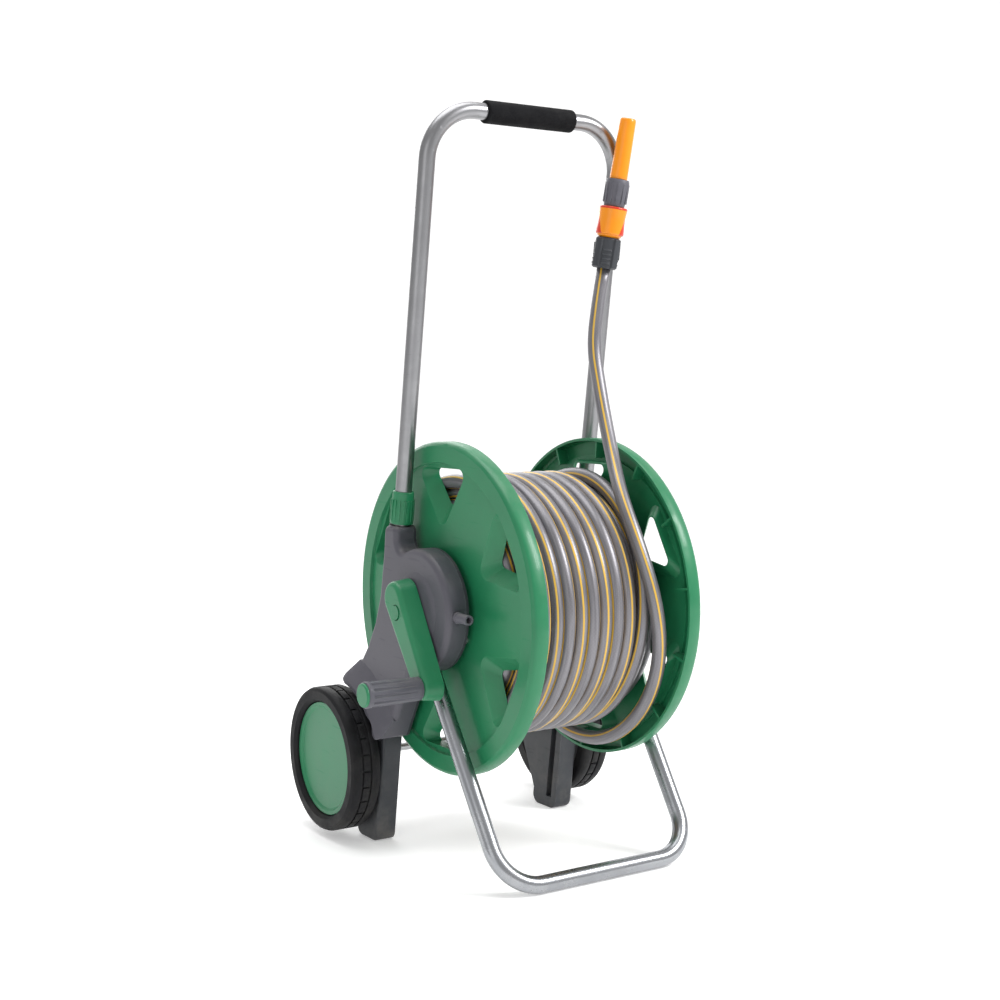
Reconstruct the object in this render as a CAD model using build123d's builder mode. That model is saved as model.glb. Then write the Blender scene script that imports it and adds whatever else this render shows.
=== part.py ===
from build123d import *
import math
import os

# Garden hose reel cart, in millimetres.
# Working frame: the origin is on the ground under the middle of the reel, X runs along the
# reel's axis with the crank at -X, -Y is the front, where the foot loop stands, and +Y is the
# wheel side. Left parts are at -X. Every piece is moved to the cart's own origin when saved.

# ---- driving sizes: reel -------------------------------------------------------------------
reel_height = 292.0           # reel axis above the ground
reel_width = 228.0            # over the outer faces of the two flanges
rim_outer = reel_width / 2
flange_radius = 190.0
flange_rim_width = 18.5       # along the axis
flange_rim_band = 24.0        # flat outer band of the rim, measured along the radius
flange_wall = 3.0
web_recess = 4.0              # the web lies this far behind the rim's outer face
window_count = 6
pocket_foot = 107.0           # radius at which a pocket's narrow end is centred
pocket_head = 155.0           # radius at which its two wide corners are centred
pocket_spread = 13.5          # half angle between its wide corners
pocket_foot_radius = 13.0
pocket_head_radius = 9.5
pocket_wall_thickness = 2.5
opening_foot = 126.0
opening_spread = 8.5
opening_radius = 6.0
rim_rounding = 5.0
flange_hub_radius = 26.0
rib_count = 14
rib_phase = 171.5             # angle of the first rib
rib_thickness = 2.5
drum_radius = 107.0
drum_wall = 3.0
drum_seat = rim_outer - 16.0  # the drum's ends, from the middle of the reel
tie_screw_circle = 58.0       # radius of the circle of the screws that hold drum and flanges
tie_screw_count = 3
tie_screw_radius = 2.1
tie_screw_length = 26.0
tie_boss_radius = 6.0
screw_head = 2.0
shaft_radius = 14.0
shaft_inner = drum_seat - 2.0 # inner ends of the shafts, from the middle of the reel
shaft_bore = 6.0
crank_shaft_radius = 9.0
outlet_turn = 200.0           # degrees about X from straight up
outlet_radius = 7.0

# ---- driving sizes: hose -------------------------------------------------------------------
hose_diameter = 16.4
hose_pitch = 16.55
layer_count = 3
straight_end = 50.0           # the free hose runs straight into its nut
layer_step = 14.4             # one layer of turns sits in the valleys of the one below

# ---- driving sizes: tubes and handle -------------------------------------------------------
tube_diameter = 19.0
tube_wall = 1.5
post_x = rim_outer + 16.0     # handle posts, from the middle of the reel
post_y = 72.8                 # handle posts, behind the reel's axis, at its height
handle_lean = 8.5             # degrees, forward
handle_height = reel_height + 560.0     # centre of the top bar
handle_bend = 57.0
handle_insert = 122.0         # length of post inside its socket
handle_travel = 120.0         # the handle lowers by this much, along its posts
grip_length = 120.0
grip_diameter = 26.0

foot_y = -158.0               # centre line of the foot tube's bottom run
foot_x = rim_outer + 14.0     # centre line of the foot tube's bottom corners
foot_top = (rim_outer + 19.0, 8.0, reel_height - 34.0)
foot_bend = 48.0
foot_bolt_radius = 2.5
foot_bolt_place = 0.92        # share of the way from the tube's corner to its top
foot_boss_radius = 12.3
foot_boss_length = 34.0
foot_bolt_length = 19.5

# ---- driving sizes: side frames and covers -------------------------------------------------
frame_inner = rim_outer + 4.0 # inner face of a side frame, from the middle of the reel
panel_thickness = 3.5
cover_reach = rim_outer + 31.5          # outer face of a cover
cover_wall = 3.0
housing_rounding = 7.0        # along the outer face's edge
corner_rounding = 8.0         # of the outline's corners
hollow_rounding = 12.0        # of the outline's hollow corners
dome_radius = 70.0
dome_reach = cover_reach + 1.5
guide_radius = 11.6           # tube that guides a handle post inside the housing
guide_foot = 122.0            # lower end of that tube, above the ground
bearing_radius = 21.0
bearing_length = 7.0
bush_wall = 2.6
boss_radius = 13.0            # round the wheel axle
cover_boss_radius = 4.0
cover_screw_radius = 1.6
cover_screw_length = 12.0
cover_screw_places = [(30, 43), (-42, -30), (109, -66), (66, -129)]     # from the reel's axis
socket_height = reel_height + 92.0      # top of the handle sockets
socket_radius = 14.0
leg_width = 25.5              # along X
leg_front = 16.0              # leg's front face, ahead of the post's axis
leg_rear = 34.0
leg_top = 134.0
leg_rounding = 11.0
leg_edge_rounding = 3.5
groove_width = 11.0
groove_depth = 7.0
groove_top = 118.0
arch_clearance = 6.0          # between the tyre and the wheel arch
arch_wall = 5.0
arch_reach = rim_outer + 46.0
arch_flare = 32.0             # width of the sloping flare round the arch
collar_height = 40.0
collar_radius = 13.6
collar_ribs = 16
collar_taper = 1.4
collet_wall = 2.2

# ---- driving sizes: wheels -----------------------------------------------------------------
wheel_y = 161.0
tyre_radius = 86.8
wheel_z = tyre_radius + 8.2   # the wheels clear the ground while the cart stands on its legs
tyre_width = 38.0
tyre_inner = rim_outer + 35.0 # inner side of the tyre, from the middle of the reel
tyre_seat = tyre_radius - 20.8
hub_disc_radius = tyre_seat + 2.6
hub_disc_recess = 8.0         # the green disc lies this far inside the tyre's outer side
axle_radius = 5.0
axle_nut_radius = 9.0
rim_wall = 4.0
rim_web = tyre_inner + 19.0
disc_thickness = 2.5
tread_blocks = 28

# ---- driving sizes: crank ------------------------------------------------------------------
crank_throw = 92.5
crank_angle = 236.5           # degrees from +Y towards +Z, so down and to the front
crank_inner = dome_reach + 1.5
crank_depth = 23.0
crank_hub_radius = 20.0
crank_crest_radius = 21.5
crank_end_radius = 16.0
crank_draft = 7.0
crank_rounding = 6.0
crank_crest = 17.5            # the arm reaches this far past its pivot
pin_radius = 4.0
crank_grip_length = 67.0
crank_grip_radius = 13.0
grip_cap_thickness = 3.0
flute_count = 12

# ---- driving sizes: inlet and hose-end fittings --------------------------------------------
inlet_x = frame_inner + 14.5
inlet_reach = 93.0            # tip of the inlet spigot, ahead of the reel's axis
inlet_radius = 5.5
inlet_bore = 3.5
inlet_base_radius = 6.6
inlet_base_reach = 73.0
inlet_ring_radius = 20.5
inlet_ring_width = 14.0
cap_radius = 8.0
cap_thickness = 2.5
fitting_foot = (post_x - 22.0, -12.0, reel_height + 392.0)
fitting_lean = (17.0, -23.0, 170.0)
nut_length = 36.5
nut_radius = 17.0
body_length = 36.5
body_radius = 14.5
collar_length = 32.0
barrel_length = 71.0
barrel_radius = 9.6
clip_height = 20.0
clip_rise = 20.0
nut_ribs = 8

# ---- clearances ----------------------------------------------------------------------------
running = 0.05                # shaft in its hole, on the radius
free = 0.3                    # parts that pass each other
loose = 0.8                   # parts that are well apart

# ---- worked out ----------------------------------------------------------------------------
rim_inner = rim_outer - flange_rim_width
band_inner = flange_radius - flange_rim_band
web_outer = rim_outer - web_recess
web_inner = web_outer - flange_wall
cover_start = frame_inner + panel_thickness
tube_radius = tube_diameter / 2
hose_radius = hose_diameter / 2
tyre_outer = tyre_inner + tyre_width
disc_outer = tyre_outer - hub_disc_recess
lean = math.radians(handle_lean)
post_up = (0, -math.sin(lean), math.cos(lean))
crank_outer = crank_inner + crank_depth
grip_start = crank_outer + free
grip_end = grip_start + crank_grip_length + grip_cap_thickness
crank_turn = math.radians(crank_angle)
crank_y = crank_throw * math.cos(crank_turn)
crank_z = crank_throw * math.sin(crank_turn)
coil_inner = drum_radius + free
coil_radius = coil_inner + hose_diameter + (layer_count - 1) * layer_step
coil_reach = rim_inner - free
outlet_x = -coil_reach + hose_radius
turns_per_layer = int((coil_reach - hose_radius) * 2 / hose_pitch) + 1

front_reach = max(flange_radius, -foot_y + tube_radius)
rear_reach = wheel_y + tyre_radius
to_origin = Location(((grip_end - tyre_outer) / 2, (front_reach - rear_reach) / 2, 0))

reel_centre = (0, 0, reel_height)
wheel_centre = (0, wheel_y, wheel_z)


RISING = (Align.CENTER, Align.CENTER, Align.MIN)
os.makedirs("parts", exist_ok=True)


# ---- helpers -------------------------------------------------------------------------------
def save(part, name):
    """Name a finished piece and write it, moved to the cart's own origin."""
    placed = part.moved(to_origin)
    placed.label = name
    export_step(placed, f"parts/{name}.step")


def save_pair(left_part, name):
    """Write a left-hand piece and its mirror image on the other side of the cart."""
    save(left_part, f"left_{name}")
    save(mirror(left_part, about=Plane.YZ), f"right_{name}")


def section(x, y=0.0, z=0.0):
    """Plane square to X: its own x is the cart's Y and its own y is the cart's Z."""
    return Plane(origin=(x, y, z), x_dir=(0, 1, 0), z_dir=(1, 0, 0))


def turned(outline, centre):
    """Solid turned about the X line through centre, from (x, radius) points."""
    with BuildPart() as piece:
        with BuildSketch(Plane(origin=centre, x_dir=(1, 0, 0), z_dir=(0, -1, 0))):
            with BuildLine():
                Polyline(*outline, close=True)
            make_face()
        revolve(axis=Axis(centre, (1, 0, 0)))
    return piece.part


def ring(centre, x_from, x_to, outer, inner):
    """Plain ring about the X line through centre."""
    with BuildPart() as piece:
        with BuildSketch(section(x_from, centre[1], centre[2])):
            Circle(outer)
            if inner > 0:
                Circle(inner, mode=Mode.SUBTRACT)
        extrude(amount=x_to - x_from)
    return piece.part


def rod(start, end, radius):
    """Plain round bar from one point to another."""
    direction = Vector(*end) - Vector(*start)
    with BuildPart() as piece:
        with BuildSketch(Plane(origin=start, z_dir=direction)):
            Circle(radius)
        extrude(amount=direction.length)
    return piece.part


def outward(x, y, z):
    """Place on the left side at a distance x from the middle, with Z pointing outward (-X)."""
    return Location((-x, y, z), (0, -90, 0))


def cover_screw_spots(x):
    """Places of the screws of the left cover, at a distance x from the middle of the reel."""
    return [outward(x, y, reel_height + z) for y, z in cover_screw_places]


def on_post(height):
    """Point of the left post's axis at a height above the ground."""
    return (-post_x, post_y - (height - reel_height) * math.tan(lean), height)


def post_plane(height):
    """Plane square to the left post at a height; its own y points to the rear."""
    return Plane(origin=on_post(height), x_dir=(1, 0, 0), z_dir=post_up)


def along_post(start, end, radius):
    """Round bar on the left post's axis between two heights."""
    return rod(on_post(start), on_post(end), radius)


def post_line(height):
    """How far behind the reel's axis the posts are at a height."""
    return on_post(height)[1]


# ---- reel flanges --------------------------------------------------------------------------
def pocket(grow, start, depth):
    """One window pocket about Z, wide at the web and narrow at its bottom, swollen by grow."""
    with BuildPart() as piece:
        with BuildSketch(Plane.XY.offset(start)):
            with Locations((pocket_foot, 0)):
                Circle(pocket_foot_radius + grow)
            with PolarLocations(pocket_head, 2, -pocket_spread, 2 * pocket_spread, endpoint=True):
                Circle(pocket_head_radius + grow)
            make_hull()
        with BuildSketch(Plane.XY.offset(start + depth)):
            with Locations((opening_foot, 0)):
                Circle(opening_radius + grow)
            with PolarLocations(pocket_head, 2, -opening_spread, 2 * opening_spread, endpoint=True):
                Circle(opening_radius + grow)
            make_hull()
        loft()
    return piece.part


pocket_depth = web_outer - rim_inner
pocket_wall = pocket(pocket_wall_thickness, 0, pocket_depth)
pocket_space = pocket(0, -1, pocket_depth + 2)
flange_outline = [
    (-web_outer, shaft_radius),
    (-web_outer, band_inner),
    (-rim_outer, band_inner + 1),
    (-rim_outer, flange_radius - rim_rounding),
    (-rim_outer + rim_rounding / 3, flange_radius - rim_rounding / 3),
    (-rim_outer + rim_rounding, flange_radius),
    (-rim_inner, flange_radius),
    (-rim_inner, flange_radius - flange_wall),
    (-rim_outer + rim_rounding, flange_radius - flange_wall),
    (-rim_outer + flange_wall, flange_radius - rim_rounding),
    (-rim_outer + flange_wall, band_inner + flange_wall),
    (-web_inner, band_inner + flange_wall),
    (-web_inner, flange_hub_radius),
    (-drum_seat, flange_hub_radius),
    (-drum_seat, shaft_radius),
]

with BuildPart() as left_flange:
    add(turned(flange_outline, reel_centre))
    with Locations(section(-web_outer, 0, reel_height).location):
        with PolarLocations(0, window_count, start_angle=90):
            add(pocket_wall)
            add(pocket_space, mode=Mode.SUBTRACT)
        with PolarLocations(0, tie_screw_count, start_angle=90):
            with Locations((tie_screw_circle, 0, 0)):
                Cylinder(tie_screw_radius + free, 2 * rim_outer - 2 * web_inner, mode=Mode.SUBTRACT)
    rib_length = flange_radius - flange_wall - band_inner
    rib_width = rim_outer - flange_wall / 2 - rim_inner - loose
    with Locations(section(-rim_inner - loose - rib_width / 2, 0, reel_height).location):
        with PolarLocations(band_inner + rib_length / 2 + 1, rib_count, start_angle=rib_phase):
            Box(rib_length, rib_thickness, rib_width)
save_pair(left_flange.part, "flange")

# ---- drum ----------------------------------------------------------------------------------
with BuildPart() as drum:
    with BuildSketch(section(-drum_seat, 0, reel_height)):
        Circle(drum_radius)
        Circle(drum_radius - drum_wall, mode=Mode.SUBTRACT)
        with PolarLocations(tie_screw_circle, tie_screw_count, start_angle=90):
            Circle(tie_boss_radius)
        with PolarLocations((tie_screw_circle + drum_radius) / 2 - 1, tie_screw_count, start_angle=90):
            Rectangle(drum_radius - tie_screw_circle, drum_wall)
        with PolarLocations(tie_screw_circle, tie_screw_count, start_angle=90):
            Circle(tie_screw_radius + running, mode=Mode.SUBTRACT)
    extrude(amount=2 * drum_seat)
    with Locations(Location((outlet_x, 0, reel_height), (outlet_turn, 0, 0))):
        with Locations((0, 0, drum_radius)):
            Cylinder(outlet_radius + free, 4 * drum_wall, mode=Mode.SUBTRACT)
save(drum.part, "drum")

# ---- screws that pull the flanges onto the drum ---------------------------------------------
with BuildPart() as left_reel_screws:
    with Locations(section(-web_outer, 0, reel_height).location):
        with PolarLocations(0, tie_screw_count, start_angle=90):
            with Locations((tie_screw_circle, 0, 0)):
                Cylinder(tie_screw_radius, tie_screw_length, align=RISING)
                Cylinder(2 * tie_screw_radius, screw_head, rotation=(180, 0, 0), align=RISING)
save_pair(left_reel_screws.part, "reel_screws")

# ---- hollow shaft on the crank side, plain shaft on the other ------------------------------
seal_depth = 1.6
seal_places = (-inlet_x - inlet_ring_width / 2 + 2, -inlet_x + inlet_ring_width / 2 - 2)
with BuildPart() as left_shaft:
    add(turned([
        (-crank_outer + cap_thickness, 0),
        (-crank_outer + cap_thickness, crank_shaft_radius),
        (-dome_reach + cover_wall + free, crank_shaft_radius),
        (-dome_reach + cover_wall + free, shaft_radius),
        (-shaft_inner, shaft_radius),
        (-shaft_inner, 0),
    ], reel_centre))
    add(ring(reel_centre, -inlet_x - shaft_bore, -shaft_inner, shaft_bore, 0), mode=Mode.SUBTRACT)
    for x in seal_places:
        groove = ring(reel_centre, x - 1, x + 1, shaft_radius + 1, shaft_radius - seal_depth)
        add(groove, mode=Mode.SUBTRACT)
    with Locations((-inlet_x, 0, reel_height)):
        Cylinder(inlet_bore, 2 * shaft_radius + 2, mode=Mode.SUBTRACT)
save(left_shaft.part, "left_shaft")

with BuildPart() as shaft_seals:
    for x in seal_places:
        seal = ring(reel_centre, x - 1, x + 1, shaft_radius + running, shaft_radius - seal_depth)
        add(seal)
save(shaft_seals.part, "shaft_seals")

right_shaft = ring(reel_centre, shaft_inner, cover_reach - cover_wall - loose, shaft_radius, 0)
save(right_shaft, "right_shaft")

# ---- outlet that feeds the hose from the shaft to the drum's wall --------------------------
outlet_away = Vector(0, -math.sin(math.radians(outlet_turn)), math.cos(math.radians(outlet_turn)))
outlet_knee = Vector(outlet_x, 0, reel_height)
outlet_mouth = outlet_knee + outlet_away * (drum_radius - free)
with BuildPart() as drum_outlet:
    add(rod((-shaft_inner, 0, reel_height), outlet_knee + Vector(outlet_radius, 0, 0), outlet_radius))
    add(rod(outlet_knee, outlet_mouth, outlet_radius))
    add(rod((-shaft_inner - 1, 0, reel_height), outlet_knee, inlet_bore), mode=Mode.SUBTRACT)
    add(rod(outlet_knee, outlet_mouth + outlet_away, inlet_bore), mode=Mode.SUBTRACT)
save(drum_outlet.part, "drum_outlet")

# ---- tubes ---------------------------------------------------------------------------------
def bent_tube(corners, bend):
    """Round steel tube along straight runs with equal bends."""
    with BuildPart() as piece:
        with BuildLine() as path:
            FilletPolyline(*corners, radius=bend)
        with BuildSketch(Plane(origin=path.line @ 0, z_dir=path.line % 0)):
            Circle(tube_radius)
            Circle(tube_radius - tube_wall, mode=Mode.SUBTRACT)
        sweep()
    return piece.part


post_foot = on_post(socket_height - handle_insert)
post_head = on_post(handle_height)
handle_tube = bent_tube(
    [post_foot, post_head, (post_x, *post_head[1:]), (post_x, *post_foot[1:])], handle_bend
)
save(handle_tube, "handle_tube")

with BuildPart() as foam_grip:
    with BuildSketch(section(-grip_length / 2, post_head[1], post_head[2])):
        Circle(grip_diameter / 2)
        Circle(tube_radius, mode=Mode.SUBTRACT)
    extrude(amount=grip_length)
    rims = foam_grip.edges().filter_by(GeomType.CIRCLE).sort_by(SortBy.RADIUS)[-2:]
    fillet(rims, radius=(grip_diameter / 2 - tube_radius) * 0.6)
save(foam_grip.part, "foam_grip")

foot_head = Vector(-foot_top[0], foot_top[1], foot_top[2])
foot_corner = Vector(-foot_x, foot_y, tube_radius)
foot_axis = (foot_head - foot_corner).normalized()
foot_bolt_point = foot_corner + (foot_head - foot_corner) * foot_bolt_place
with BuildPart() as foot_tube:
    add(bent_tube(
        [foot_head, foot_corner, Vector(foot_x, foot_y, tube_radius), Vector(*foot_top)], foot_bend
    ))
    with Locations(section(0, foot_bolt_point.Y, foot_bolt_point.Z).location):
        Cylinder(foot_bolt_radius + running, 4 * foot_top[0], mode=Mode.SUBTRACT)
save(foot_tube.part, "foot_tube")

# ---- side housings -------------------------------------------------------------------------
arch_radius = tyre_radius + arch_clearance
arch_top = wheel_z + arch_radius + 3.2
socket_y = on_post(socket_height)[1]
dome_foot = reel_height - dome_radius
flat = cover_reach - cover_start


def housing(inset):
    """Outline of the side housing in the YZ plane, drawn in from its edge by inset."""
    with BuildSketch() as face:
        with BuildLine():
            Polyline(
                (socket_y - socket_radius, socket_height), (45, reel_height + 74), (0, reel_height),
                (12, dome_foot + 4), (67, 130), (78, 126), (78, 150), (157, arch_top),
                (134, arch_top + 25), (116, reel_height - 54), (98, reel_height - 24),
                (86, reel_height + 8), (socket_y + socket_radius + 4, reel_height + 58),
                (socket_y + socket_radius, socket_height), close=True,
            )
        make_face()
        with Locations((0, reel_height)):
            Circle(dome_radius)
        with Locations((wheel_y, wheel_z)):
            Circle(arch_radius, mode=Mode.SUBTRACT)
        offset(amount=-corner_rounding, kind=Kind.ARC, mode=Mode.REPLACE)
        offset(amount=corner_rounding + hollow_rounding, kind=Kind.ARC, mode=Mode.REPLACE)
        offset(amount=-hollow_rounding - inset, kind=Kind.ARC, mode=Mode.REPLACE)
    return face.sketch


def housing_block(inset, start, height, rounding):
    """Housing-shaped block on the left, from a distance start outward, its outer edge rounded."""
    with BuildPart() as piece:
        add(housing(inset))
        extrude(amount=height)
        if rounding > 0:
            fillet(piece.faces().sort_by(Axis.Z)[-1].edges(), radius=rounding)
    return mirror(piece.part.moved(section(start).location), about=Plane.YZ)


def dome(shrink):
    """Stepped round dome about the reel's axis, drawn in by shrink; its axis is Z."""
    top = dome_reach - shrink - cover_start
    outer = dome_radius - shrink
    with BuildPart() as piece:
        with BuildSketch(Plane.XZ):
            with BuildLine():
                Line((0, 0), (outer, 0))
                Line((outer, 0), (outer, 3))
                Spline((outer, 3), (outer - 5, 11), (outer - 14, 17.5 - shrink / 3))
                Line((outer - 14, 17.5 - shrink / 3), (outer - 17, top - 5))
                Spline((outer - 17, top - 5), (outer - 26, top - 1.5), (outer - 36, top))
                Line((outer - 36, top), (0, top))
                Line((0, top), (0, 0))
            make_face()
        revolve(axis=Axis.Z)
    return piece.part


def arch_flank(shrink):
    """Flank of the left housing that slopes out to the wheel arch's lip, thinned by shrink."""
    lip = arch_reach - 1.5 * shrink
    with BuildPart() as piece:
        add(housing_block(shrink, cover_start, arch_reach - cover_start, 0))
        add(turned([
            (-cover_start, arch_radius - 1), (-lip, arch_radius - 1),
            (-lip, arch_radius + arch_wall), (-cover_reach + shrink, arch_radius + arch_flare),
            (-cover_start, arch_radius + arch_flare),
        ], wheel_centre), mode=Mode.INTERSECT)
    return piece.part


def housing_space():
    """Space inside the left cover, open towards the reel."""
    inner_rounding = housing_rounding - cover_wall
    with BuildPart() as hollow:
        add(housing_block(cover_wall, cover_start - 1, flat + 1 - cover_wall, inner_rounding))
        with Locations(outward(cover_start, 0, reel_height)):
            add(dome(cover_wall))
        add(along_post(guide_foot - 20, socket_height + 1, guide_radius + free))
        add(arch_flank(cover_wall))
    return hollow.part


def side_cover(crank_side):
    """Outer housing of the left side, hollow, open towards the reel."""
    with BuildPart() as piece:
        add(housing_block(0, cover_start, flat, housing_rounding))
        with Locations(outward(cover_start, 0, reel_height)):
            add(dome(0))
        add(along_post(reel_height, socket_height, socket_radius))
        add(arch_flank(0))
    with BuildPart() as bosses:
        with Locations(cover_screw_spots(cover_start)):
            Cylinder(cover_boss_radius, flat, align=RISING)
        add(piece.part, mode=Mode.INTERSECT)
    with BuildPart() as cover:
        add(piece.part)
        add(housing_space(), mode=Mode.SUBTRACT)
        add(along_post(guide_foot - 20, socket_height + 1, guide_radius + free), mode=Mode.SUBTRACT)
        add(ring(reel_centre, -cover_start, -rim_outer, 2 * dome_radius, 0), mode=Mode.SUBTRACT)
        add(bosses.part)
        with Locations(cover_screw_spots(cover_start)):
            Cylinder(cover_screw_radius, cover_screw_length + 1, align=RISING, mode=Mode.SUBTRACT)
        if crank_side:
            hole = ring(reel_centre, -2 * dome_reach, -cover_start, crank_shaft_radius + loose, 0)
            add(hole, mode=Mode.SUBTRACT)
            spigot = rod(
                (-inlet_x, -inlet_reach, reel_height), (-inlet_x, 0, reel_height),
                inlet_base_radius + free,
            )
            add(spigot, mode=Mode.SUBTRACT)
        add(rod(foot_corner, foot_head + foot_axis, tube_radius + free), mode=Mode.SUBTRACT)
    return cover.part


save(side_cover(True), "left_side_cover")
save(mirror(side_cover(False), about=Plane.YZ), "right_side_cover")

with BuildPart() as foot_socket:
    add(rod(foot_head - foot_axis * foot_boss_length, foot_head + foot_axis * 3, foot_boss_radius))
    add(housing_space(), mode=Mode.INTERSECT)

# ---- side frames: panel, leg, handle guide, bearing and axle bosses ------------------------
with BuildPart() as left_side_frame:
    add(housing_block(0, frame_inner, panel_thickness, 0))
    with BuildSketch(section(-frame_inner)) as web:
        with BuildLine():
            Polyline(
                (post_line(20) - leg_front, 20), (post_line(20) + leg_rear, 20),
                (wheel_y + boss_radius, wheel_z - boss_radius), (wheel_y + boss_radius, wheel_z),
                (157, arch_top), (100, arch_top + 9), (78, 150), (post_line(leg_top) - leg_front, leg_top),
                close=True,
            )
        make_face()
    extrude(amount=-panel_thickness)
    with BuildSketch(section(-frame_inner)) as leg_face:
        with BuildLine():
            Polyline(
                (post_line(0) - leg_front, 0), (post_line(0) + leg_rear, 0),
                (post_line(24) + leg_rear, 24), (post_line(60) + leg_front, 60),
                (post_line(leg_top) + leg_front, leg_top),
                (post_line(leg_top) - leg_front, leg_top), close=True,
            )
        make_face()
        fillet(leg_face.vertices().sort_by(Axis.Y)[:2], radius=leg_rounding)
    extrude(amount=-leg_width)
    leg_edges = left_side_frame.faces().filter_by(Axis.X).sort_by(Axis.X)[0].edges()
    fillet(leg_edges, radius=leg_edge_rounding)
    add(along_post(guide_foot, socket_height, guide_radius))
    add(ring(wheel_centre, -tyre_inner + free, -cover_start, boss_radius, 0))
    add(ring(reel_centre, -frame_inner - bearing_length, -frame_inner, bearing_radius, 0))
    add(foot_socket.part)
    add(ring(reel_centre, -2 * arch_reach, -frame_inner + 3, shaft_radius + bush_wall, 0),
        mode=Mode.SUBTRACT)
    add(ring(wheel_centre, -2 * arch_reach, 0, axle_radius + running, 0), mode=Mode.SUBTRACT)
    bore_foot = on_post(socket_height - handle_insert - handle_travel)[2] - 6
    add(along_post(bore_foot, 2 * socket_height, tube_radius + free), mode=Mode.SUBTRACT)
    add(rod(foot_corner, foot_head, tube_radius), mode=Mode.SUBTRACT)
    with Locations(outward(0, foot_bolt_point.Y, foot_bolt_point.Z)):
        Cylinder(foot_bolt_radius + running, 2 * arch_reach, align=RISING, mode=Mode.SUBTRACT)
    with Locations(cover_screw_spots(frame_inner - 1)):
        Cylinder(cover_screw_radius + free, 2 * panel_thickness, align=RISING, mode=Mode.SUBTRACT)
    with BuildSketch(section(-frame_inner + 1)):
        with BuildLine():
            Polyline(
                (post_line(14) - groove_width / 2, 14), (post_line(14) + groove_width / 2, 14),
                (post_line(groove_top) + groove_width / 2, groove_top),
                (post_line(groove_top) - groove_width / 2, groove_top), close=True,
            )
        make_face()
    extrude(amount=-groove_depth - 1, mode=Mode.SUBTRACT)
save_pair(left_side_frame.part, "side_frame")

# ---- bearing bushes, wheel axle, fasteners -------------------------------------------------
left_bush = ring(
    reel_centre, -frame_inner - bearing_length, -frame_inner, shaft_radius + bush_wall,
    shaft_radius + running,
)
save_pair(left_bush, "bearing_bush")

axle_reach = disc_outer - disc_thickness - loose
save(ring(wheel_centre, -axle_reach, axle_reach, axle_radius, 0), "wheel_axle")

with BuildPart() as left_cover_screws:
    with Locations(cover_screw_spots(frame_inner)):
        Cylinder(cover_screw_radius, panel_thickness + cover_screw_length, align=RISING)
        Cylinder(2 * cover_screw_radius, screw_head, rotation=(180, 0, 0), align=RISING)
save_pair(left_cover_screws.part, "cover_screws")

with BuildPart() as left_foot_bolt:
    with Locations(outward(frame_inner, foot_bolt_point.Y, foot_bolt_point.Z)):
        Cylinder(foot_bolt_radius, foot_bolt_length, align=RISING)
        Cylinder(2 * foot_bolt_radius, screw_head, rotation=(180, 0, 0), align=RISING)
save_pair(left_foot_bolt.part, "foot_bolt")

# ---- handle clamps: a split collet inside a ribbed twist collar ----------------------------
collet_foot = socket_height + 2.2
collet_head = socket_height + collar_height - 5
with BuildPart() as left_collet:
    add(along_post(collet_foot, collet_head, tube_radius + collet_wall))
    add(along_post(0, handle_height, tube_radius + running), mode=Mode.SUBTRACT)
    with Locations(on_post(collet_head)):
        Box(2, 4 * socket_radius, collar_height, rotation=(handle_lean, 0, 0), mode=Mode.SUBTRACT)
save_pair(left_collet.part, "collet")

with BuildPart() as left_collar:
    with BuildSketch(post_plane(socket_height + 2.6)):
        Circle(collar_radius)
    with BuildSketch(post_plane(socket_height + collar_height)):
        Circle(collar_radius - collar_taper)
    loft()
    fillet(left_collar.edges().group_by(Axis.Z)[-1], radius=2)
    bore = tube_radius + collet_wall + free
    add(along_post(0, socket_height + collar_height - 3, bore), mode=Mode.SUBTRACT)
    add(along_post(0, handle_height, tube_radius + free), mode=Mode.SUBTRACT)
    with Locations(post_plane(socket_height + collar_height / 2 - 2).location):
        with PolarLocations(collar_radius - 0.6, collar_ribs):
            Box(2.0, 1.8, collar_height * 0.62)
save_pair(left_collar.part, "collar")

# ---- water inlet ---------------------------------------------------------------------------
with BuildPart() as water_inlet:
    add(ring(reel_centre, -inlet_x - inlet_ring_width / 2, -inlet_x + inlet_ring_width / 2,
             inlet_ring_radius, 0))
    centre = (-inlet_x, 0, reel_height)
    add(rod(centre, (-inlet_x, -inlet_base_reach, reel_height), inlet_base_radius))
    add(rod(centre, (-inlet_x, -inlet_reach, reel_height), inlet_radius))
    add(rod(centre, (-inlet_x, -inlet_reach - 1, reel_height), inlet_bore), mode=Mode.SUBTRACT)
    add(ring(reel_centre, -inlet_x - inlet_ring_width, -inlet_x + inlet_ring_width,
             shaft_radius + 2 * running, 0), mode=Mode.SUBTRACT)
save(water_inlet.part, "water_inlet")

# ---- crank ---------------------------------------------------------------------------------
pin_centre = (0, crank_y, reel_height + crank_z)
with BuildPart() as crank_arm:
    with BuildSketch(section(-crank_inner)):
        with Locations((0, reel_height)):
            Circle(crank_hub_radius)
        crest = -crank_crest / crank_throw
        with Locations((crank_y * crest, reel_height + crank_z * crest)):
            Circle(crank_crest_radius)
        with Locations((crank_y, reel_height + crank_z)):
            Circle(crank_end_radius)
        make_hull()
    extrude(amount=-crank_depth, taper=crank_draft)
    fillet(crank_arm.faces().sort_by(Axis.X)[0].edges(), radius=crank_rounding)
    add(ring(reel_centre, -2 * grip_end, 0, crank_shaft_radius, 0), mode=Mode.SUBTRACT)
    add(ring(reel_centre, -2 * grip_end, -crank_outer + cap_thickness, cap_radius, 0),
        mode=Mode.SUBTRACT)
    add(ring(pin_centre, -2 * grip_end, -crank_inner - 3, pin_radius, 0), mode=Mode.SUBTRACT)
save(crank_arm.part, "crank_arm")
save(ring(reel_centre, -crank_outer - 1, -crank_outer + cap_thickness, cap_radius, 0), "crank_cap")
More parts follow.
